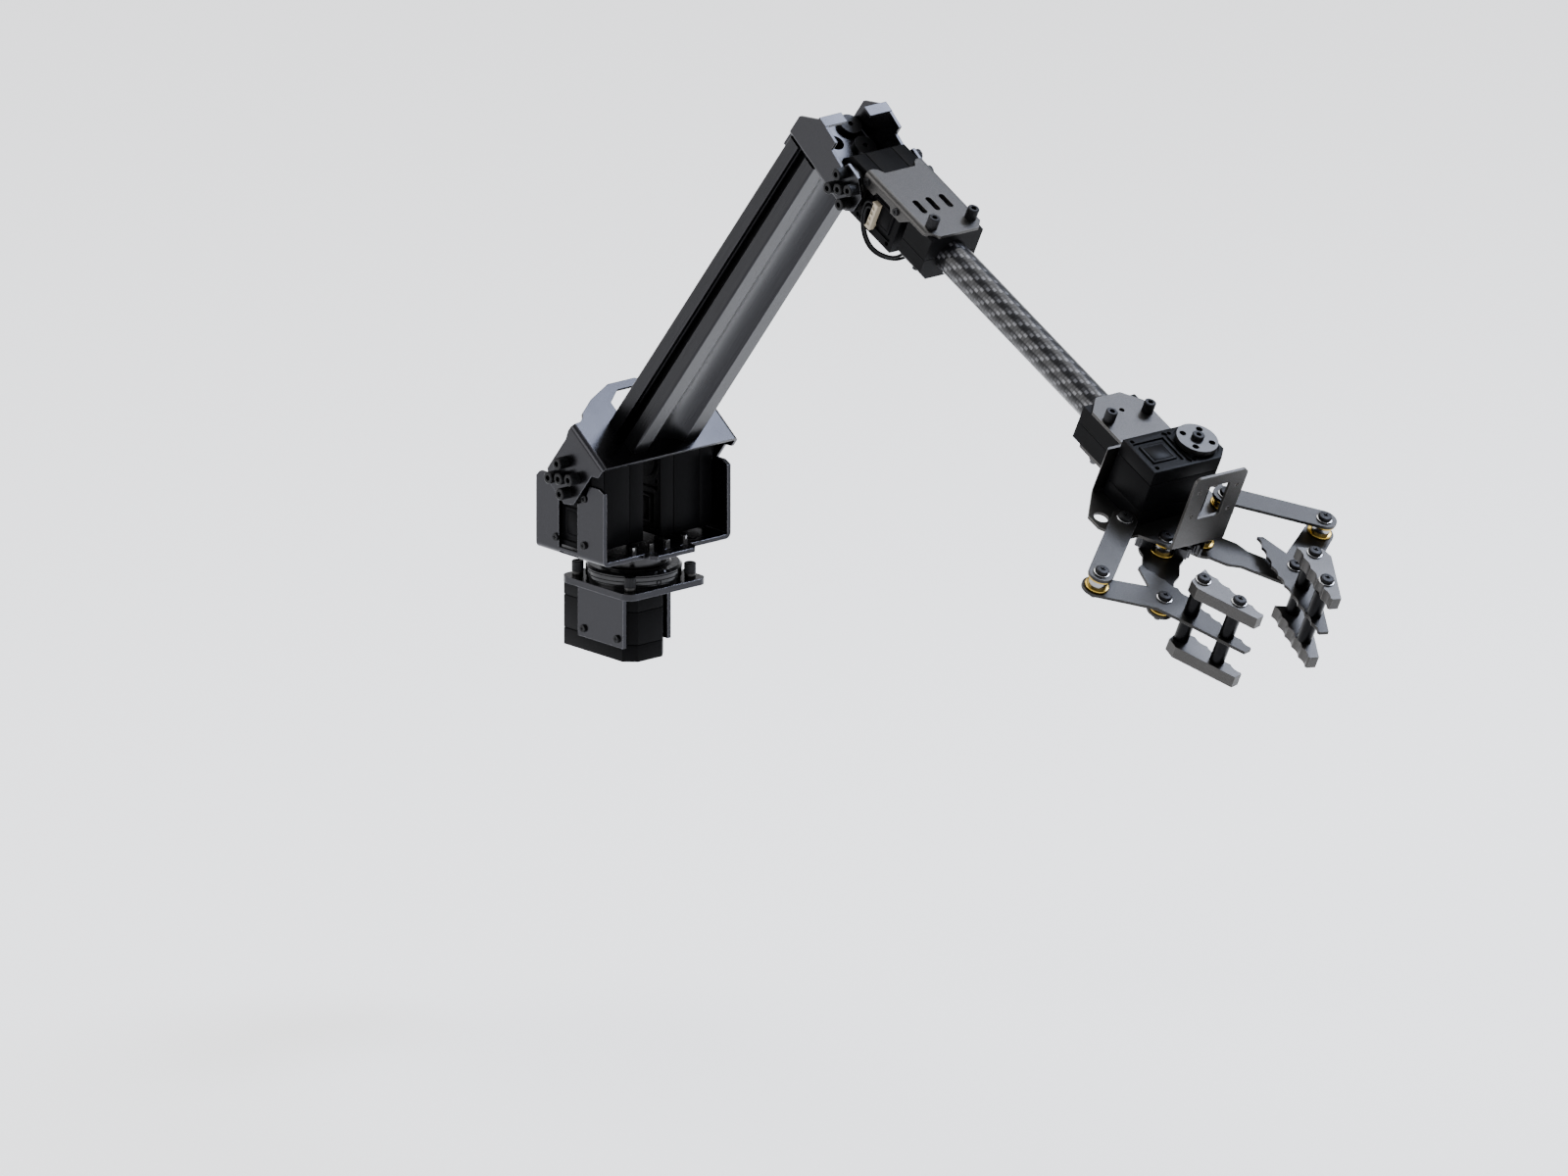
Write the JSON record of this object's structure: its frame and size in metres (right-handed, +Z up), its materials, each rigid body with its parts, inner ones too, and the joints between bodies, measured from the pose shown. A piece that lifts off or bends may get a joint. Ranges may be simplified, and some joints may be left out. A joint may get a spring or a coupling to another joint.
{
  "type": "robot arm",
  "caption": "Deck-mounted robot arm: servo turret, extrusion upper arm, carbon tube forearm and a geared linkage gripper with toothed fingers",
  "frame": {"origin": "centre of the deck bolt square, on the flange's top face where it meets the deck's level", "axes": "+X is the way the arm reaches at rest, +Y its left side, +Z up"},
  "size_m": [0.4922, 0.1474, 0.2892],
  "materials": {
    "satin_sheet": "satin near-black coat on bent sheet",
    "servo_plastic": "fine-grained black moulded case",
    "black_screw": "black oxide steel",
    "ring_chrome": "polished",
    "pillar_chrome": "polished",
    "horn_satin": "light grey satin disc",
    "anodised": "black anodised, satin",
    "grey_plate": "dark grey fine-grained coat",
    "clamp_black": "black",
    "carbon": "glossy carbon weave",
    "steel_nut": "bright",
    "bush_brass": "turned, bright",
    "plug_beige": "beige moulded plug",
    "wire_black": "black insulation",
    "gear_steel": "dark machined teeth",
    "jaw_dark": "dark grey satin",
    "column_black": "black anodised"
  },
  "bodies": {
    "base": {"pan_bracket": "satin_sheet", "pan_servo": "servo_plastic", "pan_servo_screws": "black_screw", "ring_housing": "ring_chrome"},
    "turret": {"pan_horn": "horn_satin", "ring_hub": "ring_chrome", "turret_bracket": "satin_sheet", "turret_tab_screws": "black_screw", "hub_screws": "black_screw", "right_shoulder_servo": "servo_plastic", "left_shoulder_servo": "servo_plastic", "turret_pillars": "pillar_chrome"},
    "upper_arm": {"shoulder_horns": "horn_satin", "shoulder_hood": "satin_sheet", "shoulder_horn_screws": "black_screw", "upper_arm_extrusion": "anodised", "extrusion_screws": "black_screw", "elbow_bracket": "satin_sheet", "elbow_horns": "horn_satin", "elbow_horn_screws": "black_screw"},
    "forearm": {"elbow_servo": "servo_plastic", "forearm_bracket": "grey_plate", "forearm_servo_screws": "black_screw", "upper_tube_clamp": "clamp_black", "lower_tube_clamp": "clamp_black", "forearm_tube": "carbon", "upper_wrist_clamp": "clamp_black", "lower_wrist_clamp": "clamp_black", "wrist_bracket": "grey_plate", "clamp_screws": "black_screw", "forearm_nuts": "steel_nut", "gripper_frame": "grey_plate", "frame_tab_screws": "black_screw", "gripper_servo": "servo_plastic", "frame_screws": "black_screw", "frame_bushes": "bush_brass", "cable_plug": "plug_beige", "outer_elbow_wire": "wire_black", "inner_elbow_wire": "wire_black"},
    "gripper_drive": {"gripper_horns": "horn_satin", "drive_gear": "gear_steel", "drive_gear_screws": "black_screw"},
    "right_swing": {"right_gear": "gear_steel", "right_crank": "grey_plate"},
    "right_steer": {"right_link": "grey_plate"},
    "right_finger": {"right_finger_plate": "grey_plate", "right_jaws": "jaw_dark", "right_jaw_columns": "column_black", "right_finger_screws": "black_screw", "right_finger_bushes": "bush_brass", "right_finger_nuts": "steel_nut"},
    "left_swing": {"left_gear": "gear_steel", "left_crank": "grey_plate"},
    "left_steer": {"left_link": "grey_plate"},
    "left_finger": {"left_finger_plate": "grey_plate", "left_jaws": "jaw_dark", "left_jaw_columns": "column_black", "left_finger_screws": "black_screw", "left_finger_bushes": "bush_brass", "left_finger_nuts": "steel_nut"}
  },
  "joints": [
    {"name": "base_yaw", "type": "hinge", "parent": "base", "child": "turret", "pos_m": [0, 0, 0], "axis": [0, 0, 1], "range_deg": [-180, 180]},
    {"name": "shoulder_pitch", "type": "hinge", "parent": "turret", "child": "upper_arm", "pos_m": [0, 0, 0.054], "axis": [0, 1, 0], "range_deg": [-100, 32]},
    {"name": "elbow_pitch", "type": "hinge", "parent": "upper_arm", "child": "forearm", "pos_m": [0.16855, 0, 0.22302], "axis": [0, 1, 0], "range_deg": [-80, 68]},
    {"name": "gripper_close", "type": "hinge", "parent": "forearm", "child": "right_swing", "pos_m": [0.38057, -0.012, 0.10278], "axis": [0.4462, 0, 0.8949], "range_deg": [-20, 21]},
    {"name": "left_swing", "type": "hinge", "parent": "forearm", "child": "left_swing", "pos_m": [0.38057, 0.012, 0.10278], "axis": [0.4462, 0, 0.8949], "range_deg": [-22, 21]},
    {"name": "gripper_drive", "type": "hinge", "parent": "forearm", "child": "gripper_drive", "pos_m": [0.35909, 0.012, 0.11349], "axis": [0.4462, 0, 0.8949], "range_deg": [-21, 22]},
    {"name": "right_steer", "type": "hinge", "parent": "forearm", "child": "right_steer", "pos_m": [0.37224, -0.0304, 0.11252], "axis": [0.4462, 0, 0.8949], "range_deg": [-21, 22]},
    {"name": "left_steer", "type": "hinge", "parent": "forearm", "child": "left_steer", "pos_m": [0.37224, 0.0304, 0.11252], "axis": [0.4462, 0, 0.8949], "range_deg": [-22, 21]},
    {"name": "right_finger", "type": "hinge", "parent": "right_swing", "child": "right_finger", "pos_m": [0.4102, -0.0393, 0.08577], "axis": [0.4462, 0, 0.8949], "range_deg": [-15, 14]},
    {"name": "left_finger", "type": "hinge", "parent": "left_swing", "child": "left_finger", "pos_m": [0.4102, 0.0393, 0.08577], "axis": [0.4462, 0, 0.8949], "range_deg": [-14, 15]}
  ],
  "couplings": [
    {"joint": "left_swing", "follows": "gripper_close", "ratio": -1},
    {"joint": "gripper_drive", "follows": "gripper_close", "ratio": 1},
    {"joint": "right_steer", "follows": "gripper_close", "ratio": 0.99},
    {"joint": "left_steer", "follows": "gripper_close", "ratio": -0.99},
    {"joint": "right_finger", "follows": "gripper_close", "ratio": -0.68},
    {"joint": "left_finger", "follows": "gripper_close", "ratio": 0.68}
  ]
}
